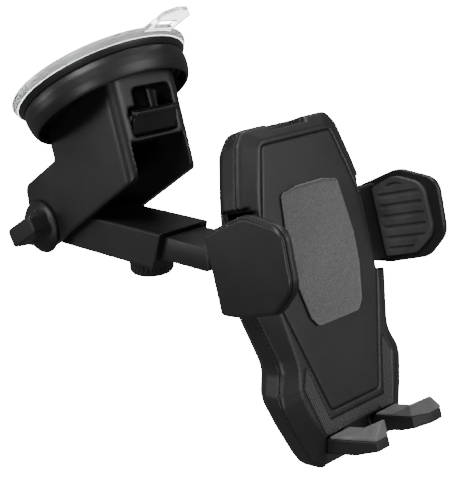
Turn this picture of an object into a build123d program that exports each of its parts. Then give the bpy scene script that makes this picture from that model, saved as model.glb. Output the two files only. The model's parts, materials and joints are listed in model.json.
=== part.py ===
from build123d import *
import math
import os

# Car phone mount on a suction cup. Millimetres, +Z up, +X along the arm towards the cradle.
# The origin is the centre of the suction face, and the arm's pivot axis is parallel to Y.

# Suction cup and base
CUP_TILT = 32.0            # the suction face leans back by this angle about Y
CUP_RADIUS = 42.5
CUP_THICK = 3.0
CUP_RIM_THICK = 4.0
CUP_BOSS_RADIUS = 7.0
TAB_REACH = 59.0           # pull tab's tip from the cup's centre
TAB_HALF_WIDTH = 8.5
TAB_THICK = 2.0
TAB_TURN = 10.0            # pull tab's bearing round the cup
BEZEL_RADIUS = 41.0
BEZEL_DEPTH = 2.84
FLANGE_RADIUS = 38.6
FLANGE_DEPTH = 11.2
FLANGE_WALL = 2.5
RECESS_DEPTH = 6.0         # the housing enters the flange by this much

# Fork housing
LEAN = 15.0                # the housing and the cradle lean back by this angle about Y
FORK_FRONT = 31.8
FORK_REAR = -24.0
FORK_HALF_WIDTH = 19.4
FORK_WALL = 4.4
FORK_FRONT_DROP = -51.1    # lower front corner
FORK_CORNER = 5.3
FORK_HEEL = (-49.4, -46.7)   # centre of the rounded heel behind the hub
HUB_RADIUS = 10.8          # rounded cheek end round the pivot
PIVOT_X = -28.5
PIVOT_Z = -73.2
CAVITY_ROOF = -34.3

# Lock lever and cup stem
LEVER_PIN_N = 28.5
LEVER_PIN_S = -29.5
LEVER_PIN_RADIUS = 1.2
LEVER_BARREL = 3.2
LEVER_HALF_WIDTH = 12.0
LEVER_HEIGHT = 9.2
LEVER_OPEN = 21.0          # resting angle out of the housing's face
CRANK_ARM = 3.2
CRANK_RADIUS = 1.0
STEM_RADIUS = 3.0
SLOT_LOW = -20.0
SLOT_HIGH = -11.7
SLOT_LEFT = -8.2
SLOT_RIGHT = 13.0

# Arm
TUBE_HALF_WIDTH = 14.3
TUBE_HALF_HEIGHT = 8.8
TUBE_MOUTH = 53.6
TUBE_WALL = 1.45
TUBE_RAKE = 21.7           # the mouth is cut back by this angle
ARM_HALF_WIDTH = 11.1
ARM_TOP = -66.7
ARM_BOTTOM = -77.5
ARM_REAR = -8.0
ARM_FRONT = 80.0
LINER_MOUTH_GAP = 0.45
BOLT_RADIUS = 3.0
WING_RADIUS = 13.0
WING_REACH = 13.1          # knob's height off the cheek
WING_LENGTH = 22.5
WING_THICK = 9.4
WING_TURN = 28.7
KNOB_X = 28.5
KNOB_RADIUS = 10.25
KNOB_HEIGHT = 8.0
KNOB_RIBS = 30
STUD_RADIUS = 2.4
INSERT_RADIUS = 4.2
PAD_RADIUS = 3.8

# Ball joint
BALL_X = 106.5
BALL_Z = -73.0
BALL_RADIUS = 8.5
NECK_RADIUS = 4.2
SEAT_THICK = 0.44
SOCKET_RADIUS = 12.0
COLLAR_RADIUS = 15.0
COLLAR_RIBS = 24

# Cradle
CRADLE_N = 115.0           # plate face in the leaning frame
CRADLE_S = -107.5
SHELL_SPLIT = -5.5
SHELL_BACK = -18.5
SHELL_WALL = 2.2
PLATE_THICK = 1.2
PAD_PROUD = 0.8
MESH_THICK = 0.8
CLAMP_INNER = 40.0         # pad face from the middle plane, fully open
CLAMP_TRAVEL = 11.0
CLAMP_PAD_THICK = 2.0
CLAMP_WALL = 2.6
CLAMP_CAP = 1.4
GROOVE_PITCH = 4.5
GROOVE_WIDTH = 1.9
GEAR_MODULE = 1.0
GEAR_TEETH = 12
GEAR_Z = 17.0
PINION_PIN = 1.5
RACK_TEETH = 5
RACK_BACK = -12.0
RACK_FRONT = -6.0
RACK_BAR = 5.7             # bar's height behind the teeth
RATCHET_PITCH = 2.0
SPRING_RADIUS = 2.5
SPRING_WIRE = 0.5
BUTTON_HALF_WIDTH = 8.0
BUTTON_TOP = 66.4
BUTTON_STEM = 1.2
STEM_HOLE = 1.35
FOOT_INNER = 8.1
FOOT_OUTER = 19.8
FOOT_REACH = 24.6
FOOT_TIP_INNER = 12.9
FOOT_SEAM = -56.0
FOOT_LOW = -62.2
FOOT_LIP = -49.6
FOOT_LIP_ROOT = 9.0
FOOT_DOOR = -55.2          # top of the feet's opening in the front shell
SLIDER_HALF_WIDTH = 18.0
NOTCH_BACK = -15.0         # the arms' openings in the shells
NOTCH_LOW = -0.5
NOTCH_HIGH = 36.5
WING_GAP = 0.6             # more room at the arms' outer ends
SCREW_RADIUS = 1.5
SCREW_HEAD = 2.8

# Clearances
RUN = 0.08                 # running fit on a radius or a guide face
GAP = 0.3                  # free gap between moving faces
SEAT = 0.05                # dropped-in fit


def leaning(shape):
    """From the leaning frame of the housing to the object's frame."""
    return Rot(0, -LEAN, 0) * shape


def tilted(shape):
    """From the suction cup's frame to the object's frame."""
    return Rot(0, -CUP_TILT, 0) * shape


def cradled(shape):
    """From the cradle's frame, with X out of the plate, to the object's frame."""
    return leaning(Pos(CRADLE_N, 0, CRADLE_S) * shape)


def box_between(x0, x1, y0, y1, z0, z1):
    """A box from its lowest to its highest corner."""
    return Pos((x0 + x1) / 2, (y0 + y1) / 2, (z0 + z1) / 2) * Box(x1 - x0, y1 - y0, z1 - z0)


def rounded_face(points, radius):
    """A closed outline with rounded corners."""
    return make_face(FilletPolyline(*points, radius=radius, close=True))


def side_slab(face, y0, y1):
    """A plate whose outline is drawn in X and Z, from y0 to y1."""
    return Pos(0, y1, 0) * extrude(Plane.XZ * face, amount=y1 - y0)


def front_slab(face, x0, x1):
    """A plate whose outline is drawn in Y and Z, from x0 to x1."""
    return Pos(x0, 0, 0) * extrude(Plane.YZ * face, amount=x1 - x0)


def rod_y(radius, y0, y1, x=0.0, z=0.0):
    """A round rod parallel to Y."""
    return Pos(x, (y0 + y1) / 2, z) * Rot(90, 0, 0) * Cylinder(radius, y1 - y0)


def rod_x(radius, x0, x1, y=0.0, z=0.0):
    """A round rod parallel to X."""
    return Pos((x0 + x1) / 2, y, z) * Rot(0, 90, 0) * Cylinder(radius, x1 - x0)


def rod_z(radius, z0, z1, x=0.0, y=0.0):
    """A round rod parallel to Z."""
    return Pos(x, y, (z0 + z1) / 2) * Cylinder(radius, z1 - z0)


def turned(points):
    """A turned solid about Z from its profile of radius and height."""
    return revolve(Plane.XZ * make_face(Polyline(*points, close=True)), Axis.Z)


def mirrored_points(half):
    """A closed outline from its right half, listed from the top down."""
    return half + [(-y, z) for y, z in reversed(half)]


def coil(radius, wire, length, turns):
    """A spring along Z from z = 0, as a row of closed turns that touch."""
    pitch = length / turns
    ring = turned([
        (radius - 2 * wire, 0), (radius - wire, 0), (radius, pitch / 2),
        (radius - wire, pitch), (radius - 2 * wire, pitch), (radius - wire, pitch / 2)])
    spring = ring
    for turn in range(1, turns):
        spring += Pos(0, 0, turn * pitch) * ring
    return spring


# Heights along the suction cup's axis, from the suction face
BEZEL_TOP = -CUP_RIM_THICK
FLANGE_TOP = BEZEL_TOP - BEZEL_DEPTH
FLANGE_LOW = FLANGE_TOP - FLANGE_DEPTH
HOUSING_TOP = FLANGE_LOW + RECESS_DEPTH
FLOOR_TOP = HOUSING_TOP + FLANGE_WALL
LEVER_PIN = Pos(LEVER_PIN_N, 0, LEVER_PIN_S)
TURN_LEAN = math.radians(LEAN)
TURN_SKEW = math.radians(CUP_TILT - LEAN)
PIVOT_N = PIVOT_X * math.cos(TURN_LEAN) + PIVOT_Z * math.sin(TURN_LEAN)
PIVOT_S = PIVOT_Z * math.cos(TURN_LEAN) - PIVOT_X * math.sin(TURN_LEAN)
CAVITY_HALF = FORK_HALF_WIDTH - FORK_WALL


def suction_cup():
    """Clear disc with a thick rim, a centre boss for the stem and a pull tab."""
    rim = CUP_RADIUS - 6.5
    disc = turned([
        (0, 0), (CUP_RADIUS - 0.6, 0), (CUP_RADIUS, -0.6), (CUP_RADIUS, -1.8),
        (BEZEL_RADIUS + 0.3, -CUP_RIM_THICK), (rim, -CUP_RIM_THICK), (rim - 2, -CUP_THICK),
        (CUP_BOSS_RADIUS, -CUP_THICK), (CUP_BOSS_RADIUS, FLOOR_TOP + GAP),
        (STEM_RADIUS + RUN, FLOOR_TOP + GAP), (STEM_RADIUS + RUN, -1.5), (0, -1.5)])
    start = CUP_RADIUS - 5
    tab = rounded_face([
        (start, -TAB_HALF_WIDTH), (TAB_REACH - 4, -TAB_HALF_WIDTH), (TAB_REACH, -3),
        (TAB_REACH, 3), (TAB_REACH - 4, TAB_HALF_WIDTH), (start, TAB_HALF_WIDTH)], 2)
    slot = Pos(CUP_RADIUS + 4.5, 0, 0) * RectangleRounded(5.5, 2 * TAB_HALF_WIDTH - 5, 1.5)
    loop = Pos(0, 0, -TAB_THICK - 0.4) * extrude(tab - slot, amount=TAB_THICK)
    return tilted(disc + Rot(0, 0, TAB_TURN) * loop)


def cup_ring():
    """Black bezel that clamps the disc's rim to the flange."""
    inner = CUP_RADIUS - 8
    return tilted(turned([
        (inner, BEZEL_TOP), (BEZEL_RADIUS - 0.4, BEZEL_TOP), (BEZEL_RADIUS, BEZEL_TOP - 0.4),
        (FLANGE_RADIUS + 0.7, FLANGE_TOP), (inner, FLANGE_TOP)]))


def base_flange():
    """Bulged round skirt with a floor for the stem's guide and the housing's screws."""
    rim = FLANGE_RADIUS
    wall = rim - FLANGE_WALL
    profile = [
        (STEM_RADIUS + RUN, FLOOR_TOP), (wall - 1.5, FLOOR_TOP), (wall - 1.5, FLANGE_TOP),
        (rim + 0.5, FLANGE_TOP), (rim + 0.9, FLANGE_TOP - 3), (rim + 0.4, FLANGE_TOP - 7),
        (rim - 0.5, FLANGE_LOW + 1.6), (rim - 1.4, FLANGE_LOW), (wall + 0.2, FLANGE_LOW),
        (wall, FLANGE_LOW + 0.5), (wall, HOUSING_TOP), (STEM_RADIUS + RUN, HOUSING_TOP)]
    flange = turned(profile)
    for x, y in flange_screw_places():
        flange -= rod_z(SCREW_RADIUS, HOUSING_TOP, FLOOR_TOP, x, y)
    return tilted(flange)


def flange_screw_places():
    """The four screws that hold the flange on the housing."""
    return [(x, y) for x in (-20, 14) for y in (-14, 14)]


def flange_screws():
    """Four screws from the flange's floor down into the housing."""
    screw = rod_z(SCREW_HEAD, FLOOR_TOP, FLOOR_TOP + 1.6) + rod_z(SCREW_RADIUS, -21, FLOOR_TOP)
    screw -= Pos(0, 0, FLOOR_TOP + 1.2) * Box(0.8, 3.6, 1)
    screw -= Pos(0, 0, FLOOR_TOP + 1.2) * Box(3.6, 0.8, 1)
    return tilted(Compound([Pos(x, y, 0) * screw for x, y in flange_screw_places()]))


def cheek_outline(radius, corner):
    """The fork's side outline in the leaning frame, with its hub end of a given radius."""
    slope = math.radians(CUP_TILT - LEAN)
    corner_s = FORK_FRONT_DROP + corner * (1 - math.sin(slope)) / math.cos(slope)
    front = Pos(FORK_FRONT - corner, corner_s) * Circle(corner)
    rear = Pos(*FORK_HEEL) * Circle(corner)
    hub = Pos(PIVOT_N, PIVOT_S) * Circle(radius)
    top = make_face(Polyline(
        (FORK_REAR, -34), (FORK_FRONT, -34), (FORK_FRONT, -36), (FORK_REAR, -36), close=True))
    lower = make_hull((front + rear + hub + top).edges())
    upper = make_face(Polyline(
        (FORK_REAR, -36), (FORK_REAR, 6), (FORK_FRONT, 6), (FORK_FRONT, -36), close=True))
    return lower + upper


def base_housing():
    """Fork block: two cheeks for the arm, a chamber for the stem and the lever's opening."""
    body = side_slab(cheek_outline(HUB_RADIUS, FORK_CORNER), -FORK_HALF_WIDTH, FORK_HALF_WIDTH)
    rounding = RectangleRounded(120, 2 * FORK_HALF_WIDTH, FORK_CORNER)
    body &= Pos(FORK_FRONT - 60, 0, -90) * extrude(rounding, amount=120)
    body = leaning(body) - tilted(box_between(-90, 90, -40, 40, HOUSING_TOP, 60))
    body -= leaning(arm_cavity())
    chamber = tilted(box_between(-4.5, 23, -CUP_BOSS_RADIUS - 1, CUP_BOSS_RADIUS + 1, -45, HOUSING_TOP))
    chamber &= leaning(box_between(-20, 30, -20, 20, CAVITY_ROOF + 1.4, 10))
    body -= chamber
    body -= leaning(lever_opening())
    body -= leaning(rod_y(LEVER_PIN_RADIUS, -17, 17, LEVER_PIN_N, LEVER_PIN_S))
    body -= rod_y(BOLT_RADIUS + RUN, -20, 20, PIVOT_X, PIVOT_Z)
    body -= Pos(PIVOT_X, FORK_HALF_WIDTH + 10 - 2.4, PIVOT_Z) * nut_blank(SEAT)
    for x, y in flange_screw_places():
        body -= tilted(rod_z(SCREW_RADIUS, -21, HOUSING_TOP, x, y))
    return body


def arm_cavity():
    """The space between the cheeks, under the roof and clear of the tube's hub."""
    wall = FORK_WALL
    outline = Polyline(
        (FORK_FRONT + 5, CAVITY_ROOF), (FORK_REAR, CAVITY_ROOF - wall),
        (-50.4, -46.6), (-50.4, -51.0), (-70, -56), (-70, -95), (FORK_FRONT + 5, -95), close=True)
    hub = Pos(PIVOT_N, PIVOT_S) * Circle(TUBE_HALF_HEIGHT + 1.5)
    return side_slab(make_face(outline) + hub, -CAVITY_HALF, CAVITY_HALF)


def lever_opening():
    """Recess for the lever in the front face, with the finger slot above it."""
    low = CAVITY_ROOF + 1.4
    recess = box_between(
        LEVER_PIN_N - LEVER_BARREL - 0.2, FORK_FRONT + 5,
        -LEVER_HALF_WIDTH - 0.4, LEVER_HALF_WIDTH + 0.4, low, SLOT_LOW)
    middle = (SLOT_LEFT + SLOT_RIGHT) / 2
    slot = RectangleRounded(SLOT_RIGHT - SLOT_LEFT, 2 * (SLOT_HIGH - SLOT_LOW), 3)
    finger = front_slab(Pos(middle, SLOT_LOW) * slot, 21, FORK_FRONT + 5)
    return recess + finger


def lever_pins():
    """Two short pins that carry the lever's barrel, one in each side of the housing."""
    pins = [rod_y(LEVER_PIN_RADIUS, 4.2, 17), rod_y(LEVER_PIN_RADIUS, -17, -4.2)]
    return leaning(LEVER_PIN * Compound(pins))


def lock_lever():
    """Flip lever: barrel halves on the pins, cam lobes with a crank pin, plate and lip."""
    half = LEVER_HALF_WIDTH
    cam_lean = CUP_TILT - LEAN
    crank = Rot(0, -cam_lean, 0) * Pos(-CRANK_ARM, 0, 0)
    lever = rod_y(LEVER_BARREL, -half, half)
    lever += crank * rod_y(CRANK_RADIUS + 0.9, -6.5, 6.5)
    lever -= Rot(0, LEVER_OPEN, 0) * box_between(-7, 1.55, -3.7, 3.7, -4.5, 4.5)
    lever += crank * rod_y(CRANK_RADIUS, -5, 5)
    lever -= rod_y(LEVER_PIN_RADIUS + RUN, -half - 1, half + 1) - crank * rod_y(CRANK_RADIUS, -9, 9)
    handle = box_between(LEVER_BARREL - 1.6, LEVER_BARREL, -half, half, -1, LEVER_HEIGHT)
    lip = RectangleRounded(4.7, 2 * half + 1.6, 1.6)
    lip = Pos(LEVER_BARREL, 0, LEVER_HEIGHT - 2) * extrude(lip, amount=2)
    handle = handle + lip
    return leaning(LEVER_PIN * (lever + Rot(0, LEVER_OPEN, 0) * handle))


def cup_stem():
    """Pull rod from the disc to a slotted eye round the lever's crank pin."""
    eye_x = LEVER_PIN_N * math.cos(TURN_SKEW) + LEVER_PIN_S * math.sin(TURN_SKEW) - CRANK_ARM
    eye_z = LEVER_PIN_S * math.cos(TURN_SKEW) - LEVER_PIN_N * math.sin(TURN_SKEW)
    stem = rod_z(STEM_RADIUS, -30, -5.2)
    reach = rounded_face([
        (-2.5, -24), (2.5, -24), (eye_x + 3.4, eye_z + 2.1), (eye_x + 3.4, eye_z - 2),
        (eye_x - 0.5, eye_z - 2), (-2.5, -30)], 0.6)
    stem += side_slab(reach, -3.4, 3.4)
    slot = Pos(eye_x + 1.75, eye_z + 0.05) * Rectangle(6, 2 * CRANK_RADIUS + 0.5)
    return tilted(stem - side_slab(slot, -4, 4))


def nut_blank(grow=0.0):
    """Hexagonal nut on the pivot bolt's far end, 20 long before it is placed."""
    hexagon = RegularPolygon(5 + grow, 6, major_radius=False)
    return Rot(90, 0, 0) * Pos(0, 0, -10) * extrude(hexagon, amount=20)


def pivot_nut():
    """Nut in the far cheek's hexagonal pocket."""
    height = 3.4
    nut = nut_blank() & box_between(-9, 9, -10, -10 + height, -9, 9)
    nut &= rod_y(5.6, -10, -10 + height)
    nut -= rod_y(BOLT_RADIUS, -11, 11)
    return Pos(PIVOT_X, FORK_HALF_WIDTH + 10 - 2.4, PIVOT_Z) * nut


def friction_washers():
    """Two washers between the tube's hub and the cheeks."""
    pair = []
    for side in (-1, 1):
        inner = side * (TUBE_HALF_WIDTH + SEAT)
        outer = side * (CAVITY_HALF - SEAT)
        washer = rod_y(TUBE_HALF_HEIGHT - 0.4, min(inner, outer), max(inner, outer))
        pair.append(washer - rod_y(BOLT_RADIUS + RUN, -20, 20))
    return Pos(PIVOT_X, 0, PIVOT_Z) * Compound(pair)


def wing_knob():
    """Round base that flares up to a flat-sided grip bar."""
    base_y = -FORK_HALF_WIDTH - 0.15
    dome = Rot(90, 0, 0) * turned([
        (0, 0), (WING_RADIUS, 0), (WING_RADIUS, 1.4), (WING_RADIUS - 1.1, 2.8),
        (WING_RADIUS - 3.2, 4.6), (WING_RADIUS - 6, 6.2), (0, 6.6)])
    lower = Plane.XY.offset(2) * RectangleRounded(WING_LENGTH, WING_THICK + 7, 6)
    middle = Plane.XY.offset(6) * RectangleRounded(WING_LENGTH, WING_THICK + 1.6, 3.5)
    upper = Plane.XY.offset(WING_REACH) * RectangleRounded(WING_LENGTH, WING_THICK, 2)
    grip = loft([middle, upper]) + loft([lower, middle])
    grip = chamfer(grip.faces().sort_by(Axis.Z)[-1].edges(), 0.6)
    grip = Rot(90, 0, 0) * Rot(0, 0, WING_TURN) * grip
    knob = Pos(0, base_y, 0) * (dome + grip)
    knob -= rod_y(BOLT_RADIUS, base_y - 6, base_y + 1)
    knob -= Pos(0, base_y - 5, 0) * bolt_head()
    return Pos(PIVOT_X, 0, PIVOT_Z) * knob


def bolt_head():
    """Hexagonal head moulded into the wing knob."""
    hexagon = RegularPolygon(4.5, 6, major_radius=False)
    return Rot(90, 0, 0) * Pos(0, 0, -2) * extrude(hexagon, amount=4)


def pivot_bolt():
    """Bolt through the cheeks and the tube's hub, turned by the wing knob."""
    head = FORK_HALF_WIDTH + 0.15 + 5
    bolt = Pos(0, -head, 0) * bolt_head() + rod_y(BOLT_RADIUS, -head, FORK_HALF_WIDTH + 2)
    return Pos(PIVOT_X, 0, PIVOT_Z) * bolt


def tube_end(reach, setback):
    """The half-space behind the raked mouth, as a large block."""
    middle = (TUBE_MOUTH + TUBE_MOUTH - 2 * TUBE_HALF_HEIGHT * math.tan(math.radians(TUBE_RAKE))) / 2
    block = box_between(0, 60, -30, 30, -reach, reach)
    return Pos(middle - setback, 0, PIVOT_Z) * Rot(0, TUBE_RAKE, 0) * block


def outer_tube():
    """Square tube with a round hub at the pivot, open at a raked mouth."""
    half = TUBE_HALF_HEIGHT
    outline = make_face(Polyline((0, -half), (110, -half), (110, half), (0, half), close=True))
    tube = side_slab(outline + Circle(half), -TUBE_HALF_WIDTH, TUBE_HALF_WIDTH)
    tube = Pos(PIVOT_X, 0, PIVOT_Z) * tube
    long_edges = tube.edges().filter_by(Axis.X)
    tube = chamfer(long_edges, 0.7)
    inner = TUBE_HALF_WIDTH - TUBE_WALL
    bore = box_between(
        ARM_REAR - 11.5, 90, -inner, inner, ARM_BOTTOM - RUN, PIVOT_Z + half - TUBE_WALL)
    tube -= bore
    tube -= tube_end(30, 0)
    tube -= rod_y(BOLT_RADIUS + RUN, -20, 20, PIVOT_X, PIVOT_Z)
    low = PIVOT_Z - half
    tube -= rod_z(INSERT_RADIUS, low - 1, low + 2.8, KNOB_X)
    tube -= rod_z(PAD_RADIUS + 0.2, low, ARM_BOTTOM, KNOB_X)
    return tube




def tube_liner():
    """Thin guide round three sides of the arm, snug in the tube behind its mouth."""
    inner = TUBE_HALF_WIDTH - TUBE_WALL
    top = PIVOT_Z + TUBE_HALF_HEIGHT - TUBE_WALL
    rear = ARM_REAR - 11.5
    liner = box_between(rear, 90, -inner, inner, ARM_BOTTOM - RUN, top)
    bore = ARM_HALF_WIDTH + RUN
    liner -= box_between(rear - 1, 91, -bore, bore, ARM_BOTTOM - 1, ARM_TOP + RUN)
    for side in (-1, 1):
        edge = side * (inner - LINER_MOUTH_GAP)
        far = side * (inner + 1)
        liner -= box_between(36, 91, min(edge, far), max(edge, far), ARM_BOTTOM - 1, top + 1)
    return liner - tube_end(30, 0.3)


def clamp_insert():
    """Brass threaded insert in the tube's floor."""
    low = PIVOT_Z - TUBE_HALF_HEIGHT
    insert = rod_z(INSERT_RADIUS, low, low + 2.8)
    return Pos(KNOB_X, 0, 0) * (insert - rod_z(STUD_RADIUS + RUN, low - 1, low + 4))


def pressure_pad():
    """Loose pad between the stud and the arm's underside."""
    low = PIVOT_Z - TUBE_HALF_HEIGHT + 2.8
    return rod_z(PAD_RADIUS, low, ARM_BOTTOM - SEAT, KNOB_X)


def clamp_stud():
    """Threaded stud fixed in the thumb knob."""
    top = PIVOT_Z - TUBE_HALF_HEIGHT + 2.8 - SEAT
    return rod_z(STUD_RADIUS, top - 7, top, KNOB_X)


def thumb_knob():
    """Round knob with ribs all round and a rounded lower edge."""
    top = PIVOT_Z - TUBE_HALF_HEIGHT - GAP
    low = top - KNOB_HEIGHT
    knob = turned([
        (0, low), (KNOB_RADIUS - 2.6, low), (KNOB_RADIUS - 1.2, low + 0.6),
        (KNOB_RADIUS - 0.4, low + 1.6), (KNOB_RADIUS, low + 2.6), (KNOB_RADIUS, top - 1),
        (KNOB_RADIUS - 1, top), (0, top)])
    for rib in range(KNOB_RIBS):
        turn = Rot(0, 0, 360 / KNOB_RIBS * rib)
        knob -= turn * rod_z(0.45, low - 1, top - 1.3, KNOB_RADIUS + 0.15)
    stud_low = PIVOT_Z - TUBE_HALF_HEIGHT + 2.8 - SEAT - 7
    knob -= rod_z(STUD_RADIUS, stud_low, top + 1)
    return Pos(KNOB_X, 0, 0) * knob


def inner_arm():
    """Sliding bar with a bored front end for the ball stud."""
    bar = box_between(
        ARM_REAR, ARM_FRONT, -ARM_HALF_WIDTH, ARM_HALF_WIDTH, ARM_BOTTOM, ARM_TOP)
    bar = chamfer(bar.faces().sort_by(Axis.X)[-1].edges(), 1.0)
    return bar - rod_x(NECK_RADIUS, ARM_FRONT - 14, ARM_FRONT + 1, 0, BALL_Z)


def ball_stud():
    """Ball on a neck whose shank is pressed into the arm."""
    ball = Pos(BALL_X, 0, BALL_Z) * Sphere(BALL_RADIUS)
    return ball + rod_x(NECK_RADIUS, ARM_FRONT - 14, BALL_X, 0, BALL_Z)


# Places in the cradle's frame
BALL_IN = BALL_X * math.cos(TURN_LEAN) + BALL_Z * math.sin(TURN_LEAN) - CRADLE_N
BALL_UP = BALL_Z * math.cos(TURN_LEAN) - BALL_X * math.sin(TURN_LEAN) - CRADLE_S
PITCH_RADIUS = GEAR_MODULE * GEAR_TEETH / 2
LEFT_RACK = GEAR_Z + PITCH_RADIUS
RIGHT_RACK = GEAR_Z - PITCH_RADIUS
ARM_WALL_IN = CLAMP_INNER + CLAMP_PAD_THICK
BRACKET_IN = 27.0
BRACKET_LOW = 2.0
BRACKET_HIGH = 33.0
BRACKET_BACK = -13.3
BRACKET_FRONT = -4.3
POCKET_FRONT = -3.4
POCKET_BACK = SHELL_BACK + SHELL_WALL
PAWL_PIN_Y = -8.0
PAWL_PIN_Z = 34.6
SHELF_Z = 46.0
BUTTON_BACK = -14.0
BUTTON_FRONT = -8.0
DIP_HALF = 9.6
DIP_Z = 64.5
SLIDER_BACK = -5.3
SLIDER_FRONT = POCKET_FRONT - RUN
SHELL_SCREWS = [(20, 46), (-20, 46), (24, -34), (-24, -34)]

# Right halves of the cradle's outlines, from the top down: Y and Z
BODY_OUTLINE = [
    (23.5, 67), (27.8, 62), (32.8, 45.5), (35, 36.5), (38, 7.5), (37.6, -2.5), (32.2, -22.5),
    (32.2, -27), (35.3, -34.5), (35.3, -39), (31.8, -49.5), (25.4, -65), (22, -67.5)]
OUTLINE_CORNERS = [6, 5, 12, 10, 8, 8, 9, 9, 6, 6, 14, 6, 3]
FACE_OUTLINE = [
    (17.5, 61.5), (20.6, 59), (26.1, 43), (28.8, 31.5), (29.3, 5), (29.0, -3), (26.6, -23),
    (26.6, -27), (28.2, -33.5), (28.0, -37), (25.6, -45), (20.8, -55), (18.5, -56.4)]
PLATE_OUTLINE = [(19.2, 59.5), (28, 30.5), (28.5, 0), (14.2, -46.3)]
PAD_OUTLINE = [
    (8, 42), (16.5, 40.4), (19.3, 18), (18.7, 5), (15.5, -9.5), (12, -13.8)]
MESH_OUTLINE = [
    (-22.6, -26), (-26.1, -34), (-20.1, -54), (-18, -54.8), (-13.5, -54.8), (-12, -53.3),
    (12, -53.3), (13.5, -54.8), (18, -54.8), (20.1, -54), (26.1, -34), (22.6, -26),
    (16, -49.5), (-16, -49.5)]
ARM_OUTLINE = [
    (-14.4, 32.8), (9.6, 37.6), (28.4, 30.8), (27, 8.3), (16, 0), (-4, -0.8), (-15, 0.7)]
ARM_CORNERS = [2, 14, 7, 9, 9, 4, 2]
CLAMP_PAD_OUTLINE = [
    (-3.9, 31.4), (8.4, 35.2), (22.6, 30.2), (22.8, 10), (12, 2.6), (-3.9, 2.2)]
CLAMP_PAD_CORNERS = [1, 11, 7, 8, 8, 1]


def inset(points, amount, corner=0.0):
    """The closed outline moved inwards, with rounded corners."""
    face = make_face(Polyline(*points, close=True))
    if amount:
        face = offset(face, -amount, kind=Kind.INTERSECTION)
    return fillet(face.vertices(), corner) if corner else face


def shell_loft(back_points, back_x, front_points, front_x):
    """A solid between two outlines with the same number of corners."""
    corners = OUTLINE_CORNERS + OUTLINE_CORNERS[::-1]
    back = Plane.YZ.offset(back_x) * rounded_face(back_points, corners)
    front = Plane.YZ.offset(front_x) * rounded_face(front_points, [0.7 * c for c in corners])
    return loft([back, front], ruled=True)


def scaled(points, amount):
    """An outline's corners drawn in towards its middle by about the given amount."""
    high = max(z for _, z in points)
    low = min(z for _, z in points)
    middle = (high + low) / 2
    shrink_z = 1 - amount / (high - middle)
    wide = max(y for y, _ in points)
    return [(y * (1 - amount / wide), middle + (z - middle) * shrink_z) for y, z in points]


def shell_cuts():
    """What both shells leave open: the top dip, the arms' side notches and the feet's door."""
    dip = rounded_face([
        (-DIP_HALF - 5, 80), (-DIP_HALF, DIP_Z), (DIP_HALF, DIP_Z), (DIP_HALF + 5, 80)], 1)
    cuts = front_slab(dip, -30, 5)
    for side in (-1, 1):
        inner, outer = sorted((side * 28.7, side * 60))
        cuts += box_between(NOTCH_BACK, 5, inner, outer, NOTCH_LOW, NOTCH_HIGH)
        near, far = sorted((side * 15, side * 29))
        cuts += box_between(NOTCH_BACK, POCKET_FRONT - 0.4, near, far, NOTCH_LOW, NOTCH_HIGH)
        near, far = sorted((side * 30.5, side * 60))
        cuts += box_between(
            NOTCH_BACK - WING_GAP, 5, near, far, NOTCH_LOW - 1, NOTCH_HIGH + 3 * WING_GAP)
    return cuts


def back_shell():
    """Rear half of the cradle: a dished cover with posts, shelf and openings."""
    body = mirrored_points(BODY_OUTLINE)
    shell = shell_loft(mirrored_points(scaled(BODY_OUTLINE, 0.7)), SHELL_BACK + 5, body, SHELL_SPLIT)
    shell += shell_loft(
        mirrored_points(scaled(BODY_OUTLINE, 3.4)), SHELL_BACK,
        mirrored_points(scaled(BODY_OUTLINE, 0.7)), SHELL_BACK + 5)
    pocket = mirrored_points(scaled(BODY_OUTLINE, 3.4 + SHELL_WALL))
    hollow = front_slab(make_face(Polyline(*pocket, close=True)), POCKET_BACK, SHELL_SPLIT + 1)
    posts = Compound([rod_x(3.4, SHELL_BACK + 1, SHELL_SPLIT, y, z) for y, z in SHELL_SCREWS])
    shelf = box_between(SHELL_BACK + 1, SHELL_SPLIT, -DIP_HALF - 2, DIP_HALF + 2, SHELF_Z, SHELF_Z + 2)
    stops = Compound([box_between(
        SHELL_BACK + 1, -6.4, min(a, b), max(a, b), GEAR_Z - 3, GEAR_Z + 3)
        for a, b in ((7.8, 9.5), (-7.8, -9.5))])
    shell = shell - hollow + posts + shelf + stops - shell_cuts()
    shell -= box_between(
        BUTTON_BACK - RUN, BUTTON_FRONT + RUN, -BUTTON_HALF_WIDTH - RUN, BUTTON_HALF_WIDTH + RUN,
        SHELF_Z + 8, 80)
    shell -= rod_z(STEM_HOLE, SHELF_Z - 1, SHELF_Z + 3, (BUTTON_BACK + BUTTON_FRONT) / 2)
    for y, z in SHELL_SCREWS:
        shell -= rod_x(SCREW_RADIUS, SHELL_BACK - 1, SHELL_SPLIT + 1, y, z)
        shell -= rod_x(SCREW_HEAD, SHELL_BACK - 1, SHELL_BACK + 1.6, y, z)
    shell -= rod_x(PINION_PIN, SHELL_BACK + 1, SHELL_SPLIT, 0, GEAR_Z)
    shell -= rod_x(1.0, SHELL_BACK + 1, SHELL_SPLIT, PAWL_PIN_Y, PAWL_PIN_Z)
    return cradled(shell)


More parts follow.
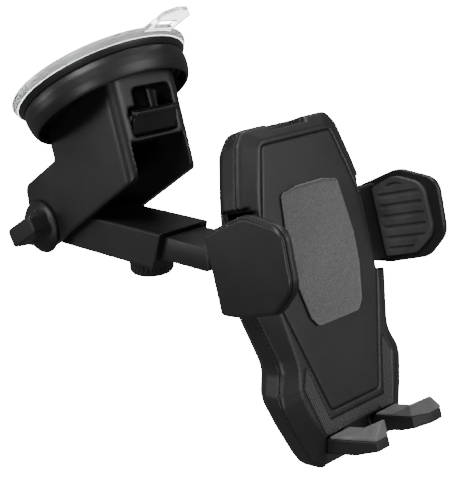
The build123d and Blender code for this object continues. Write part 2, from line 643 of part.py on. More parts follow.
def front_shell():
    """Front half of the cradle: rounded band, sloping band and a flat face."""
    body = mirrored_points(BODY_OUTLINE)
    step = mirrored_points(scaled(BODY_OUTLINE, 0.9))
    face = mirrored_points(FACE_OUTLINE)
    shell = shell_loft(body, SHELL_SPLIT, body, SHELL_SPLIT + 0.8)
    shell += shell_loft(body, SHELL_SPLIT + 0.8, step, SHELL_SPLIT + 1.9)
    shell += shell_loft(step, SHELL_SPLIT + 1.9, face, 0)
    pocket = mirrored_points(scaled(FACE_OUTLINE, 2.4))
    hollow = front_slab(make_face(Polyline(*pocket, close=True)), SHELL_SPLIT - 1, POCKET_FRONT)
    bosses = Compound([rod_x(3.4, SHELL_SPLIT, -2.5, y, z) for y, z in SHELL_SCREWS])
    shell = shell - hollow + bosses - shell_cuts()
    plate = mirrored_points(PLATE_OUTLINE)
    shell -= front_slab(inset(plate, -SEAT, 2.0), -PLATE_THICK, 1)
    shell -= front_slab(inset(MESH_OUTLINE, 0), -MESH_THICK, 1)
    shell -= box_between(
        SLIDER_BACK - 1, 2, -FOOT_OUTER - GAP, FOOT_OUTER + GAP, -80, FOOT_DOOR)
    slide = SLIDER_HALF_WIDTH + GAP
    shell -= box_between(SLIDER_BACK - 1, POCKET_FRONT, -slide, slide, -80, -19)
    for y, z in SHELL_SCREWS:
        shell -= rod_x(SCREW_RADIUS, SHELL_SPLIT - 1, -3, y, z)
    return cradled(shell)


def face_plate():
    """Tall faceted plate set into the front shell, which carries the phone pad."""
    plate = inset(mirrored_points(PLATE_OUTLINE), 0, 2.0)
    return cradled(chamfered_top(front_slab(plate, -PLATE_THICK, 0), 0.4))


def chamfered_top(part, amount):
    """The part with its foremost face's edges broken."""
    return chamfer(part.faces().sort_by(Axis.X)[-1].edges(), amount)


def face_pad():
    """Rubber pad for the phone's back, with an arched top."""
    pad = inset(mirrored_points(PAD_OUTLINE), 0, 2.4)
    return cradled(chamfered_top(front_slab(pad, 0, PAD_PROUD), 0.3))


def mesh_inlay():
    """Grille inlay round the plate's lower end."""
    return cradled(front_slab(inset(MESH_OUTLINE, SEAT), -MESH_THICK, -0.1))


def shell_screws():
    """Four screws that hold the two shells together, from the back."""
    screw = rod_x(SCREW_HEAD - 0.1, SHELL_BACK + 0.2, SHELL_BACK + 1.6)
    screw += rod_x(SCREW_RADIUS, SHELL_BACK + 1, -3.2)
    screw -= Pos(SHELL_BACK, 0, 0) * Box(1.6, 0.8, 3.6)
    screw -= Pos(SHELL_BACK, 0, 0) * Box(1.6, 3.6, 0.8)
    return cradled(Compound([Pos(0, y, z) * screw for y, z in SHELL_SCREWS]))


def ball_seat(level):
    """Thin seat ring round the front half of the ball; level 0 is next to the ball."""
    inner = BALL_RADIUS + (level + 1) * 0.06 + level * SEAT_THICK
    outer = inner + SEAT_THICK
    bow = CenterArc((0, 0), inner, 40, 25)
    crown = CenterArc((0, 0), outer, 40, 25)
    section = make_face([bow, Line(bow @ 1, crown @ 1), crown, Line(crown @ 0, bow @ 0)])
    ring = Rot(0, 90, 0) * revolve(Plane.XZ * section, Axis.Z)
    return cradled(Pos(BALL_IN, 0, BALL_UP) * ring)


def ball_socket():
    """Cup on the cradle's back that holds the ball and its seats."""
    bowl = BALL_RADIUS + 3 * 0.06 + 2 * SEAT_THICK
    mouth = BALL_IN - 3.4
    socket = rod_x(SOCKET_RADIUS, mouth, SHELL_BACK) + rod_x(15.5, SHELL_BACK - 1.8, SHELL_BACK)
    socket -= Pos(BALL_IN, 0, 0) * Sphere(bowl)
    socket -= rod_x(bowl * 0.96, mouth - 1, BALL_IN)
    for turn in range(6):
        slit = box_between(mouth - 1, BALL_IN + 3, -0.5, 0.5, 6, SOCKET_RADIUS + 1)
        socket -= Rot(60 * turn + 30, 0, 0) * slit
    return cradled(Pos(0, 0, BALL_UP) * socket)


def collar_nut():
    """Ribbed nut round the socket whose end wall keeps the ball in."""
    mouth = BALL_IN - 3.4
    back = mouth - 1.6
    collar = rod_x(COLLAR_RADIUS, back, SHELL_BACK - 2.1)
    collar = chamfer(collar.edges(), 0.8)
    collar -= rod_x(SOCKET_RADIUS + RUN, mouth - 0.15, SHELL_BACK)
    collar -= rod_x(BALL_RADIUS - 0.3, back - 1, SHELL_BACK)
    for rib in range(COLLAR_RIBS):
        turn = Rot(360 / COLLAR_RIBS * rib, 0, 0)
        collar -= turn * rod_x(0.8, back + 1.5, SHELL_BACK - 3.6, 0, COLLAR_RADIUS + 0.3)
    return cradled(Pos(0, 0, BALL_UP) * collar)


def rack_teeth(start, pitch_z, upwards):
    """A row of rack teeth along Y whose pitch line is at the given height."""
    pitch = math.pi * GEAR_MODULE
    side = 1 if upwards else -1
    root = pitch_z - side * 1.2 * GEAR_MODULE
    tip = pitch_z + side * 0.9 * GEAR_MODULE
    teeth = []
    for tooth in range(RACK_TEETH):
        y = start + tooth * pitch
        outline = Polyline(
            (y - 1.2, root - side * 0.3), (y - 1.15, root), (y - 0.38, tip), (y + 0.38, tip),
            (y + 1.15, root), (y + 1.2, root - side * 0.3), close=True)
        teeth.append(front_slab(make_face(outline), RACK_BACK, RACK_FRONT))
    return Compound(teeth)


def clamp_arm(side):
    """Clamp arm with its bracket and rack bar; side is -1 for left and 1 for right."""
    outline = rounded_face(ARM_OUTLINE, ARM_CORNERS)
    outer = ARM_WALL_IN + CLAMP_WALL
    wall = side_slab(outline, ARM_WALL_IN, outer)
    arm = wall + box_between(
        BRACKET_BACK, BRACKET_FRONT, BRACKET_IN, ARM_WALL_IN, BRACKET_LOW, BRACKET_HIGH)
    pitch = math.pi * GEAR_MODULE
    if side < 0:
        arm = mirror(arm, Plane.XZ)
        low = LEFT_RACK + 1.2
        arm += box_between(RACK_BACK, RACK_FRONT, -BRACKET_IN - 1, 4, low, low + RACK_BAR)
        arm += rack_teeth(pitch * (0.5 - (RACK_TEETH - 1)), LEFT_RACK, False)
        arm += ratchet_teeth(low + RACK_BAR)
        arm -= box_between(-14, -9.2, -BRACKET_IN - 2, -BRACKET_IN, low + RACK_BAR, 34)
    else:
        high = RIGHT_RACK - 1.2
        arm += box_between(RACK_BACK, RACK_FRONT, -4, BRACKET_IN + 1, high - RACK_BAR, high)
        arm += rack_teeth(-0.5 * pitch, RIGHT_RACK, True)
    return cradled(arm)


def ratchet_teeth(z):
    """Saw teeth along the top of the left rack bar."""
    teeth = []
    for tooth in range(9):
        y = -24.6 + tooth * RATCHET_PITCH
        outline = Polyline((y, z - 0.1), (y, z + 0.8), (y + 1.6, z - 0.1), close=True)
        teeth.append(front_slab(make_face(outline), -11, -7))
    return Compound(teeth)


def clamp_cap(side):
    """Smooth outer cap of a clamp arm."""
    outline = offset(rounded_face(ARM_OUTLINE, ARM_CORNERS), -0.7)
    outer = ARM_WALL_IN + CLAMP_WALL
    cap = side_slab(outline, outer, outer + CLAMP_CAP)
    cap = chamfer(cap.faces().sort_by(Axis.Y)[-1].edges(), 0.7)
    return cradled(mirror(cap, Plane.XZ) if side < 0 else cap)


def clamp_pad(side):
    """Grooved rubber pad on a clamp arm's inner side."""
    outline = rounded_face(CLAMP_PAD_OUTLINE, CLAMP_PAD_CORNERS)
    pad = side_slab(outline, CLAMP_INNER, ARM_WALL_IN)
    field = offset(outline, -2.2)
    for groove in range(7):
        slit = Pos(9, 5 + groove * GROOVE_PITCH) * Rectangle(60, GROOVE_WIDTH)
        pad -= side_slab(field & slit, CLAMP_INNER - 1, CLAMP_INNER + 1)
    return cradled(mirror(pad, Plane.XZ) if side < 0 else pad)


def pinion():
    """Gear that ties the two racks together."""
    root = PITCH_RADIUS - 1.25 * GEAR_MODULE
    tip = PITCH_RADIUS + 0.9 * GEAR_MODULE
    gear = rod_x(root, RACK_BACK, RACK_FRONT)
    for tooth in range(GEAR_TEETH):
        outline = Polyline(
            (-1.0, root - 0.5), (-0.72, PITCH_RADIUS), (-0.3, tip), (0.3, tip),
            (0.72, PITCH_RADIUS), (1.0, root - 0.5), close=True)
        flank = front_slab(make_face(outline), RACK_BACK, RACK_FRONT)
        gear += Rot(360 / GEAR_TEETH * tooth, 0, 0) * flank
    gear -= rod_x(PINION_PIN + RUN, RACK_BACK - 1, RACK_FRONT + 1)
    return cradled(Pos(0, 0, GEAR_Z) * gear)


def pinion_pin():
    """Pin for the gear, held in the back shell."""
    return cradled(rod_x(PINION_PIN, SHELL_BACK + 1, -5.6, 0, GEAR_Z))


def pawl_pin():
    """Pin for the pawl, held in the back shell."""
    return cradled(rod_x(1.0, SHELL_BACK + 1, -5.6, PAWL_PIN_Y, PAWL_PIN_Z))


def pawl():
    """Rocking pawl: a tooth over the ratchet bar and a tail under the button's stem."""
    bar_top = LEFT_RACK + 1.2 + RACK_BAR
    outline = rounded_face([
        (-17.4, bar_top + 1.0), (-15.8, bar_top + 1.0), (-14.5, PAWL_PIN_Z - 1.6),
        (2, PAWL_PIN_Z - 1.0), (2, PAWL_PIN_Z + 1.0), (-4, PAWL_PIN_Z + 1.0),
        (-6, PAWL_PIN_Z + 2.4), (-8, PAWL_PIN_Z + 2.4),
        (-17.4, PAWL_PIN_Z + 1)], 0.4)
    lever = front_slab(outline, -12.5, -9.5)
    return cradled(lever - rod_x(1.0 + RUN, -14, -8, PAWL_PIN_Y, PAWL_PIN_Z))


def release_button():
    """Push button in the top dip, with a stem down to the pawl."""
    head = box_between(
        BUTTON_BACK, BUTTON_FRONT, -BUTTON_HALF_WIDTH, BUTTON_HALF_WIDTH, BUTTON_TOP - 7, BUTTON_TOP)
    head = fillet(head.edges().filter_by(Axis.Z), 2)
    head = fillet(head.faces().sort_by(Axis.Z)[-1].edges(), 0.8)
    middle = (BUTTON_BACK + BUTTON_FRONT) / 2
    return cradled(head + rod_z(BUTTON_STEM, PAWL_PIN_Z + 1.35, BUTTON_TOP - 5, middle))


def button_spring():
    """Spring between the shelf and the button."""
    low = SHELF_Z + 2
    spring = coil(SPRING_RADIUS, SPRING_WIRE / 2, BUTTON_TOP - 7 - low, 9)
    return cradled(Pos((BUTTON_BACK + BUTTON_FRONT) / 2, 0, low) * spring)


def clamp_spring(side):
    """Spring that pushes one clamp arm outwards."""
    spring = Rot(-90, 0, 0) * coil(SPRING_RADIUS, SPRING_WIRE / 2, BRACKET_IN - 9.5, 12)
    spring = Pos(-9, 9.5, GEAR_Z) * spring
    return cradled(mirror(spring, Plane.XZ) if side < 0 else spring)


def foot_plan():
    """One foot from above, with its inner front corner cut off; X and Y."""
    return Polyline(
        (SLIDER_BACK, FOOT_INNER), (FOOT_REACH - 5.5, FOOT_INNER), (FOOT_REACH, FOOT_TIP_INNER),
        (FOOT_REACH, FOOT_OUTER), (SLIDER_BACK, FOOT_OUTER), close=True)


def both_feet(shape):
    """A foot's shape and its mirror image."""
    return shape + mirror(shape, Plane.XZ)


def foot_slider():
    """Sliding plate behind the front shell with two feet that stand out of it."""
    half = SLIDER_HALF_WIDTH
    plate = box_between(SLIDER_BACK, SLIDER_FRONT, -half, half, -60, -20)
    foot = Pos(0, 0, FOOT_LOW) * extrude(make_face(foot_plan()), amount=FOOT_SEAM - FOOT_LOW)
    underside = make_face(Polyline(
        (12, FOOT_LOW), (FOOT_REACH + 1, FOOT_LOW), (FOOT_REACH + 1, FOOT_LOW + 2.4), close=True))
    foot -= side_slab(underside, 0, 40)
    return cradled(plate + both_feet(foot))


def foot_pads():
    """Two rubber toppings on the feet, flat at the back and rising to a lip."""
    flat = box_between(FOOT_LIP_ROOT - 8, FOOT_LIP_ROOT, FOOT_INNER, FOOT_OUTER, FOOT_SEAM, FOOT_SEAM + 1)
    root = Plane.YZ.offset(FOOT_LIP_ROOT) * make_face(Polyline(
        (FOOT_INNER, FOOT_SEAM), (FOOT_OUTER, FOOT_SEAM), (FOOT_OUTER, FOOT_SEAM + 0.9),
        (FOOT_OUTER - 3, FOOT_SEAM + 1), (FOOT_INNER, FOOT_SEAM + 1), close=True))
    tip = Plane.YZ.offset(FOOT_REACH) * make_face(Polyline(
        (FOOT_INNER, FOOT_SEAM), (FOOT_OUTER, FOOT_SEAM), (FOOT_OUTER, FOOT_SEAM + 1.2),
        (FOOT_OUTER - 4.6, FOOT_LIP), (FOOT_INNER, FOOT_LIP), close=True))
    wedge = loft([root, tip], ruled=True)
    trim = extrude(make_face(foot_plan()), amount=40)
    return cradled(both_feet(flat + (wedge & Pos(0, 0, FOOT_SEAM - 1) * trim)))


NODES = {
    "suction_cup": suction_cup,
    "cup_ring": cup_ring,
    "base_flange": base_flange,
    "flange_screws": flange_screws,
    "base_housing": base_housing,
    "lever_pins": lever_pins,
    "lock_lever": lock_lever,
    "cup_stem": cup_stem,
    "pivot_nut": pivot_nut,
    "friction_washers": friction_washers,
    "wing_knob": wing_knob,
    "pivot_bolt": pivot_bolt,
    "outer_tube": outer_tube,
    "tube_liner": tube_liner,
    "clamp_insert": clamp_insert,
    "pressure_pad": pressure_pad,
    "clamp_stud": clamp_stud,
    "thumb_knob": thumb_knob,
    "inner_arm": inner_arm,
    "ball_stud": ball_stud,
    "ball_seat_inner": lambda: ball_seat(0),
    "ball_seat_outer": lambda: ball_seat(1),
    "ball_socket": ball_socket,
    "collar_nut": collar_nut,
    "back_shell": back_shell,
    "front_shell": front_shell,
    "face_plate": face_plate,
    "face_pad": face_pad,
    "mesh_inlay": mesh_inlay,
    "shell_screws": shell_screws,
    "clamp_arm_left": lambda: clamp_arm(-1),
    "clamp_arm_right": lambda: clamp_arm(1),
    "clamp_cap_left": lambda: clamp_cap(-1),
    "clamp_cap_right": lambda: clamp_cap(1),
    "clamp_pad_left": lambda: clamp_pad(-1),
    "clamp_pad_right": lambda: clamp_pad(1),
    "clamp_spring_left": lambda: clamp_spring(-1),
    "clamp_spring_right": lambda: clamp_spring(1),
    "pinion": pinion,
    "pinion_pin": pinion_pin,
    "pawl": pawl,
    "pawl_pin": pawl_pin,
    "release_button": release_button,
    "button_spring": button_spring,
    "foot_slider": foot_slider,
    "foot_pads": foot_pads,
}

os.makedirs("parts", exist_ok=True)
for node, make in NODES.items():
    export_step(make(), f"parts/{node}.step")
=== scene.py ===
"""Looks of the car phone mount: moulded plastics, clear suction disc, rubber pads and a studio."""
import json
import math

import bpy
from mathutils import Matrix, Vector


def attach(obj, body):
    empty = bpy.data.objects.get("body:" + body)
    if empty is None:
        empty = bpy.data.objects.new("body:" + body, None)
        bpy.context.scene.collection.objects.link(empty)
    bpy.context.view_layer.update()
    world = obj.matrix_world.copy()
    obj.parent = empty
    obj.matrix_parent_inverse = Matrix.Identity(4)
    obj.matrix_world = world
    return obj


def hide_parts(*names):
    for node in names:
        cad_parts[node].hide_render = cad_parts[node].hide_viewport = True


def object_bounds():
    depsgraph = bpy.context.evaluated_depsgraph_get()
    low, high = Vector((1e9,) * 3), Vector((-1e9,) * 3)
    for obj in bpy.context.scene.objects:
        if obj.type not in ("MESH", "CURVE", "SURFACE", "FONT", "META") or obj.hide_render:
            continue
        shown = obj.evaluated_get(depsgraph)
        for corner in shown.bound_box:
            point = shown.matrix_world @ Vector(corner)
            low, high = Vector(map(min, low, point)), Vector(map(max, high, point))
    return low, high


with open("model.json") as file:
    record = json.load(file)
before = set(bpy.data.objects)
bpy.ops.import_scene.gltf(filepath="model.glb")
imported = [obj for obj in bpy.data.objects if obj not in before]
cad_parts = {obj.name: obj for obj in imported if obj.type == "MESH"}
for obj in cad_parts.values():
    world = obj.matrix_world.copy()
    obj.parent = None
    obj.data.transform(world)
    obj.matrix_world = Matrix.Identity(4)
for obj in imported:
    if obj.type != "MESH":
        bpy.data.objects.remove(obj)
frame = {"nodes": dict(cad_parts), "record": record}
CAD_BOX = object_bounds()

MM = 0.001
FLOOR_GLOW = 25.0
ROOM_LIGHT = 0.14
FLOOR_SIZE = 60
FLOOR_DROP = 0.12            # floor below the object's lowest point

# Bevels, the pad's border and the grille
BEVEL_ANGLE = math.radians(28)
BEVEL_STEPS = 3
BEVEL_SMOOTH = math.radians(32)
WORN_SMOOTH = math.radians(70)
PAD_WEAR = (0.22 * MM, 2, 0.35)  # as a row of WORN, in metres
PAD_BORDER = 0.8 * MM
PAD_GROOVE = 0.6 * MM
PAD_GROOVE_WALL = 0.1 * MM
PAD_GROOVE_DEPTH = 0.5 * MM
GRILLE_PITCH = 0.95 * MM
GRILLE_DEPTH = 0.28 * MM
GRILLE_SLANT = 1.3           # rise of the cuts' normals for a run of 1
GRILLE_MIDDLE = -40 * MM     # cradle height that the cuts are counted from
GRILLE_CUTS = 60             # cuts to each side of it

# The cradle leans back, with its own X out of the plate
LEAN = math.radians(15)
CRADLE = Matrix.Rotation(-LEAN, 4, "Y") @ Matrix.Translation((115 * MM, 0, -107.5 * MM))
FRONT = (CRADLE.to_3x3() @ Vector((1, 0, 0))).normalized()


# ---------------------------------------------------------------- camera, floor and lights

def make_camera():
    """A long-lens view from the front left, a little above the arm, rolled slightly."""
    data = bpy.data.cameras.new("camera")
    data.sensor_fit = "VERTICAL"
    data.sensor_height = 36
    data.lens = 81.8
    camera = bpy.data.objects.new("camera", data)
    bpy.context.scene.collection.objects.link(camera)
    azimuth, elevation, roll = (math.radians(a) for a in (47.34, 16.80, -3.16))
    turn = Matrix.Rotation(azimuth, 4, "Z") @ Matrix.Rotation(math.pi / 2 - elevation, 4, "X")
    turn = turn @ Matrix.Rotation(roll, 4, "Z")
    camera.matrix_world = Matrix.Translation((0.4218, -0.3147, 0.0700)) @ turn
    bpy.context.scene.camera = camera


def make_floor():
    """A glowing white floor some way below the object, which hangs from its suction cup."""
    bpy.ops.object.select_all(action="DESELECT")
    bpy.ops.mesh.primitive_plane_add(size=FLOOR_SIZE, location=(0, 0, CAD_BOX[0][2] - FLOOR_DROP))
    floor = bpy.context.object
    floor.name = "floor"
    bpy.ops.object.transform_apply(location=True)
    material = bpy.data.materials.new("floor_paint")
    material.use_nodes = True
    shader = material.node_tree.nodes["Principled BSDF"]
    shader.inputs["Base Color"].default_value = (0.93, 0.93, 0.93, 1)
    shader.inputs["Roughness"].default_value = 0.9
    shader.inputs["Emission Color"].default_value = (1, 1, 1, 1)
    shader.inputs["Emission Strength"].default_value = FLOOR_GLOW
    floor.data.materials.append(material)
    floor.visible_diffuse = False
    floor.visible_glossy = False
    floor.visible_shadow = False


def make_world():
    """A dim even room that the camera sees as white."""
    world = bpy.data.worlds.new("room")
    world.use_nodes = True
    nodes, links = world.node_tree.nodes, world.node_tree.links
    back = nodes["Background"]
    back.inputs["Color"].default_value = (1, 1, 1, 1)
    path = nodes.new("ShaderNodeLightPath")
    dim = nodes.new("ShaderNodeMapRange")
    dim.inputs["To Min"].default_value = ROOM_LIGHT
    dim.inputs["To Max"].default_value = 1.0
    links.new(path.outputs["Is Camera Ray"], dim.inputs["Value"])
    links.new(dim.outputs["Result"], back.inputs["Strength"])
    bpy.context.scene.world = world


def soft_light(name, place, aim, size, power):
    """A square soft box at a place, turned towards its aim."""
    data = bpy.data.lights.new(name, "AREA")
    data.size = size
    data.energy = power
    light = bpy.data.objects.new(name, data)
    light.matrix_world = Matrix.Translation(place) @ (
        Vector(aim) - Vector(place)).to_track_quat("-Z", "Y").to_matrix().to_4x4()
    bpy.context.scene.collection.objects.link(light)


def make_lights():
    """Five soft boxes: key, fill and top light, and two low ones for the upright rounded edges."""
    centre = (0.07, 0, -0.05)
    soft_light("key", (0.15, -0.75, 0.75), centre, 0.5, 8)
    soft_light("fill", (0.95, 0.25, 0.25), centre, 0.6, 5)
    soft_light("top", (-0.1, 0.3, 0.95), centre, 0.6, 6)
    soft_light("front", (0.75, -1.0, -0.15), centre, 0.3, 3.2)
    soft_light("side", (-0.55, -0.8, 0.0), centre, 0.3, 1.6)


# ---------------------------------------------------------------- materials

def start_material(name):
    """A material with its shader and Object coordinates ready to wire."""
    material = bpy.data.materials.new(name)
    material.use_nodes = True
    nodes = material.node_tree.nodes
    shader = nodes["Principled BSDF"]
    place = nodes.new("ShaderNodeTexCoord")
    return material, nodes, material.node_tree.links, shader, place


def noise(nodes, links, place, scale, detail=3.0, roughness=0.55):
    """A noise texture on Object coordinates."""
    texture = nodes.new("ShaderNodeTexNoise")
    texture.inputs["Scale"].default_value = scale
    texture.inputs["Detail"].default_value = detail
    texture.inputs["Roughness"].default_value = roughness
    links.new(place.outputs["Object"], texture.inputs["Vector"])
    return texture


def span(nodes, links, source, low, high, from_low=0.3, from_high=0.7):
    """A texture's middle range mapped to a low and a high value."""
    ramp = nodes.new("ShaderNodeMapRange")
    ramp.inputs["From Min"].default_value = from_low
    ramp.inputs["From Max"].default_value = from_high
    ramp.inputs["To Min"].default_value = low
    ramp.inputs["To Max"].default_value = high
    links.new(source, ramp.inputs["Value"])
    return ramp.outputs["Result"]


def tint(nodes, links, source, dark, light, low=0.35, high=0.65):
    """Two colours mixed by a texture."""
    ramp = nodes.new("ShaderNodeValToRGB")
    ramp.color_ramp.elements[0].position = low
    ramp.color_ramp.elements[1].position = high
    ramp.color_ramp.elements[0].color = (*dark, 1)
    ramp.color_ramp.elements[1].color = (*light, 1)
    links.new(source, ramp.inputs["Fac"])
    return ramp.outputs["Color"]


def bump(nodes, links, shader, source, depth, strength=1.0):
    """Relief from a texture, with its depth in metres."""
    relief = nodes.new("ShaderNodeBump")
    relief.inputs["Strength"].default_value = strength
    relief.inputs["Distance"].default_value = depth
    links.new(source, relief.inputs["Height"])
    links.new(relief.outputs["Normal"], shader.inputs["Normal"])


def moulded_plastic(name, shade, gloss, grain_size, grain_depth):
    """Black moulded plastic: sparked grain, faint flow clouds and uneven gloss."""
    material, nodes, links, shader, place = start_material(name)
    clouds = noise(nodes, links, place, 35, 4)
    grain = noise(nodes, links, place, 1 / grain_size, 2, 0.7)
    dark = tuple(c * 0.86 for c in shade)
    light = tuple(c * 1.16 for c in shade)
    links.new(tint(nodes, links, clouds.outputs["Fac"], dark, light), shader.inputs["Base Color"])
    links.new(
        span(nodes, links, clouds.outputs["Fac"], gloss - 0.04, gloss + 0.05),
        shader.inputs["Roughness"])
    bump(nodes, links, shader, grain.outputs["Fac"], grain_depth, 0.6)
    shader.inputs["Specular IOR Level"].default_value = 0.5
    return material


def speckled_rubber():
    """Grey rubber sheet with fine light and dark specks and a fine leathery grain."""
    material, nodes, links, shader, place = start_material("speckled_rubber")
    specks = noise(nodes, links, place, 2600, 2, 0.8)
    links.new(
        tint(nodes, links, specks.outputs["Fac"], (0.055, 0.055, 0.057), (0.17, 0.17, 0.174)),
        shader.inputs["Base Color"])
    clouds = noise(nodes, links, place, 60, 3)
    links.new(span(nodes, links, clouds.outputs["Fac"], 0.62, 0.74), shader.inputs["Roughness"])
    grain = noise(nodes, links, place, 1900, 3, 0.7)
    bump(nodes, links, shader, grain.outputs["Fac"], 0.00012, 0.7)
    shader.inputs["Sheen Weight"].default_value = 0.12
    return material


def moulded_rubber(name, shade):
    """Dark moulded rubber with a dusty sheen."""
    material, nodes, links, shader, place = start_material(name)
    clouds = noise(nodes, links, place, 90, 4)
    dark = tuple(c * 0.8 for c in shade)
    light = tuple(c * 1.25 for c in shade)
    links.new(tint(nodes, links, clouds.outputs["Fac"], dark, light), shader.inputs["Base Color"])
    links.new(span(nodes, links, clouds.outputs["Fac"], 0.5, 0.66), shader.inputs["Roughness"])
    grain = noise(nodes, links, place, 1500, 3, 0.7)
    bump(nodes, links, shader, grain.outputs["Fac"], 0.00006, 0.6)
    shader.inputs["Sheen Weight"].default_value = 0.15
    return material


def clear_tpu():
    """Soft clear plastic, a little cloudy, with faint flow marks."""
    material, nodes, links, shader, place = start_material("clear_tpu")
    haze = noise(nodes, links, place, 45, 4)
    links.new(
        tint(nodes, links, haze.outputs["Fac"], (0.56, 0.57, 0.58), (0.76, 0.77, 0.78)),
        shader.inputs["Base Color"])
    links.new(span(nodes, links, haze.outputs["Fac"], 0.10, 0.22), shader.inputs["Roughness"])
    ripples = noise(nodes, links, place, 120, 2)
    bump(nodes, links, shader, ripples.outputs["Fac"], 0.0002, 0.35)
    shader.inputs["Transmission Weight"].default_value = 0.8
    shader.inputs["IOR"].default_value = 1.47
    return material


def metal(name, shade, rough):
    """Plated or turned metal with fine brushing."""
    material, nodes, links, shader, place = start_material(name)
    brushing = noise(nodes, links, place, 900, 4)
    dark = tuple(c * 0.85 for c in shade)
    links.new(tint(nodes, links, brushing.outputs["Fac"], dark, shade), shader.inputs["Base Color"])
    links.new(
        span(nodes, links, brushing.outputs["Fac"], rough - 0.06, rough + 0.08),
        shader.inputs["Roughness"])
    shader.inputs["Metallic"].default_value = 1.0
    return material


MATERIALS = {
    "clear_tpu": clear_tpu(),
    "satin_black": moulded_plastic("satin_black", (0.014, 0.014, 0.015), 0.38, 0.0005, 0.00003),
    "gloss_black": moulded_plastic("gloss_black", (0.011, 0.011, 0.012), 0.30, 0.0006, 0.00002),
    "matte_black": moulded_plastic("matte_black", (0.013, 0.013, 0.014), 0.48, 0.0004, 0.00005),
    "arm_black": moulded_plastic("arm_black", (0.012, 0.012, 0.013), 0.42, 0.0005, 0.00004),
    "cradle_black": moulded_plastic("cradle_black", (0.014, 0.014, 0.015), 0.42, 0.0004, 0.00004),
    "nylon": moulded_plastic("nylon", (0.62, 0.61, 0.57), 0.45, 0.0008, 0.00003),
    "nylon_black": moulded_plastic("nylon_black", (0.014, 0.014, 0.015), 0.4, 0.0008, 0.00002),
    "mesh_black": moulded_plastic("mesh_black", (0.05, 0.05, 0.052), 0.5, 0.0005, 0.00003),
    "steel": metal("zinc_plated_steel", (0.62, 0.62, 0.63), 0.3),
    "brass": metal("turned_brass", (0.78, 0.58, 0.26), 0.28),
    "grey_rubber": speckled_rubber(),
    "dark_rubber": moulded_rubber("clamp_pad_rubber", (0.045, 0.045, 0.047)),
    "foot_rubber": moulded_rubber("foot_rubber", (0.12, 0.12, 0.123)),
}


# ---------------------------------------------------------------- finishing of the CAD pieces

BODY_OF = {
    node: body
    for body, nodes in frame["record"]["behaviour"]["bodies"].items() for node in nodes}
SLOT_OF = {part["node"]: part["material_slot"] for part in frame["record"]["subparts"]}


def paint(piece, slot):
    """Gives a piece its one material."""
    piece.data.materials.clear()
    piece.data.materials.append(MATERIALS[slot])


def stand_in(piece, node):
    """A finished piece rides where its CAD node does, and is shown in its place."""
    paint(piece, SLOT_OF[node])
    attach(piece, BODY_OF[node])
    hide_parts(node)


def fresh_copy(node):
    """A merged copy of a CAD node's mesh, with its flat faces in one piece."""
    bpy.ops.object.select_all(action="DESELECT")
    source = frame["nodes"][node]
    piece = source.copy()
    piece.data = source.data.copy()
    piece.name = node + "_moulding"
    bpy.context.scene.collection.objects.link(piece)
    bpy.context.view_layer.objects.active = piece
    piece.select_set(True)
    bpy.ops.object.mode_set(mode="EDIT")
    bpy.ops.mesh.select_all(action="SELECT")
    bpy.ops.mesh.remove_doubles(threshold=2e-6)
    bpy.ops.mesh.dissolve_limited(angle_limit=math.radians(0.6))
    bpy.ops.object.mode_set(mode="OBJECT")
    return piece


def rounded_copy(node, width):
    """The CAD node's shape with its sharp edges broken by a small moulding radius."""
    piece = fresh_copy(node)
    edge = piece.modifiers.new("edge", "BEVEL")
    edge.width = width
    edge.segments = BEVEL_STEPS
    edge.limit_method = "ANGLE"
    edge.angle_limit = BEVEL_ANGLE
    edge.miter_outer = "MITER_ARC"
    edge.use_clamp_overlap = True
    bpy.ops.object.modifier_apply(modifier="edge")
    bpy.ops.object.shade_smooth_by_angle(angle=BEVEL_SMOOTH)
    stand_in(piece, node)


def wear_edges(piece, grain, rounds, keep):
    """Wears every edge of a piece round, as a large moulding has them."""
    skin = piece.modifiers.new("skin", "REMESH")
    skin.mode = "VOXEL"
    skin.voxel_size = grain
    wear = piece.modifiers.new("wear", "SMOOTH")
    wear.factor = 0.5
    wear.iterations = rounds
    thin = piece.modifiers.new("thin", "DECIMATE")
    thin.ratio = keep
    for step in ("skin", "wear", "thin"):
        bpy.ops.object.modifier_apply(modifier=step)
    bpy.ops.object.shade_smooth_by_angle(angle=WORN_SMOOTH)


def softened_copy(node, grain, rounds, keep):
    """The CAD node's shape with worn edges, in the node's place."""
    piece = fresh_copy(node)
    wear_edges(piece, grain, rounds, keep)
    stand_in(piece, node)


def pick_front(piece):
    """Selects the faces that look out of the cradle's plate and enters edit mode."""
    for face in piece.data.polygons:
        face.select = face.normal.dot(FRONT) > 0.99
    bpy.ops.object.mode_set(mode="EDIT")
    bpy.ops.mesh.select_mode(type="FACE")


def bordered_pad():
    """The phone's pad, with a raised border and a groove inside it."""
    piece = fresh_copy("face_pad")
    pick_front(piece)
    bpy.ops.mesh.inset(thickness=PAD_BORDER, depth=0)
    bpy.ops.mesh.inset(thickness=PAD_GROOVE_WALL, depth=-PAD_GROOVE_DEPTH)
    bpy.ops.mesh.inset(thickness=PAD_GROOVE, depth=0)
    bpy.ops.mesh.inset(thickness=PAD_GROOVE_WALL, depth=PAD_GROOVE_DEPTH)
    bpy.ops.object.mode_set(mode="OBJECT")
    wear_edges(piece, *PAD_WEAR)
    stand_in(piece, "face_pad")


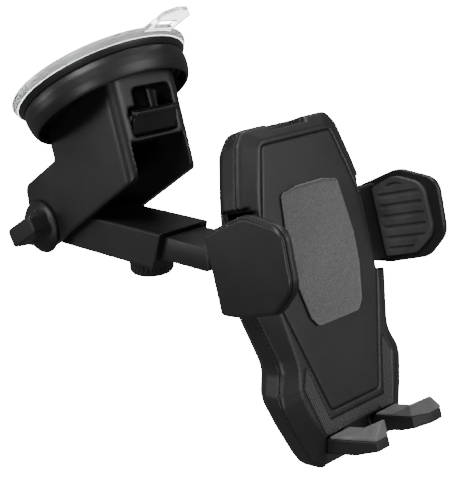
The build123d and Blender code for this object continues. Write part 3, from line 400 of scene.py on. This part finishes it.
def diamond_grille():
    """The inlay cut into small diamonds, each sunk to a point."""
    piece = fresh_copy("mesh_inlay")
    bpy.ops.object.mode_set(mode="EDIT")
    for slant in (-1, 1):
        across = (CRADLE.to_3x3() @ Vector((0, 1, slant * GRILLE_SLANT))).normalized()
        for step in range(-GRILLE_CUTS, GRILLE_CUTS + 1):
            place = CRADLE @ Vector((0, 0, GRILLE_MIDDLE)) + across * step * GRILLE_PITCH
            bpy.ops.mesh.select_all(action="SELECT")
            bpy.ops.mesh.bisect(plane_co=place, plane_no=across)
    bpy.ops.mesh.select_all(action="DESELECT")
    bpy.ops.object.mode_set(mode="OBJECT")
    pick_front(piece)
    bpy.ops.mesh.poke(offset=-GRILLE_DEPTH)
    bpy.ops.object.mode_set(mode="OBJECT")
    stand_in(piece, "mesh_inlay")


# Bevel widths in millimetres
EDGE_RADII = {
    "cup_ring": 0.3, "thumb_knob": 0.2, "inner_arm": 0.3,
    "release_button": 0.3, "tube_liner": 0.15, "collar_nut": 0.3, "ball_socket": 0.3,
}

# Voxel size in millimetres, smoothing rounds and share of triangles kept
WORN = {
    "front_shell": (0.5, 8, 0.45), "back_shell": (0.5, 8, 0.45), "base_housing": (0.6, 9, 0.4),
    "base_flange": (0.5, 6, 0.4), "lock_lever": (0.3, 4, 0.5), "wing_knob": (0.3, 8, 0.4),
    "outer_tube": (0.35, 1, 0.4), "clamp_arm_left": (0.4, 5, 0.4), "clamp_arm_right": (0.4, 5, 0.4),
    "clamp_cap_left": (0.25, 9, 0.4), "clamp_cap_right": (0.25, 9, 0.4),
    "clamp_pad_left": (0.25, 3, 0.5), "clamp_pad_right": (0.25, 3, 0.5),
    "foot_slider": (0.4, 4, 0.4), "foot_pads": (0.3, 3, 0.4), "face_plate": (0.35, 3, 0.3),
}

for node_name, cad_piece in frame["nodes"].items():
    if node_name in EDGE_RADII:
        rounded_copy(node_name, EDGE_RADII[node_name] * MM)
    elif node_name in WORN:
        grain, rounds, keep = WORN[node_name]
        softened_copy(node_name, grain * MM, rounds, keep)
    elif node_name == "face_pad":
        bordered_pad()
    elif node_name == "mesh_inlay":
        diamond_grille()
    else:
        paint(cad_piece, SLOT_OF[node_name])

make_camera()
make_floor()
make_world()
make_lights()
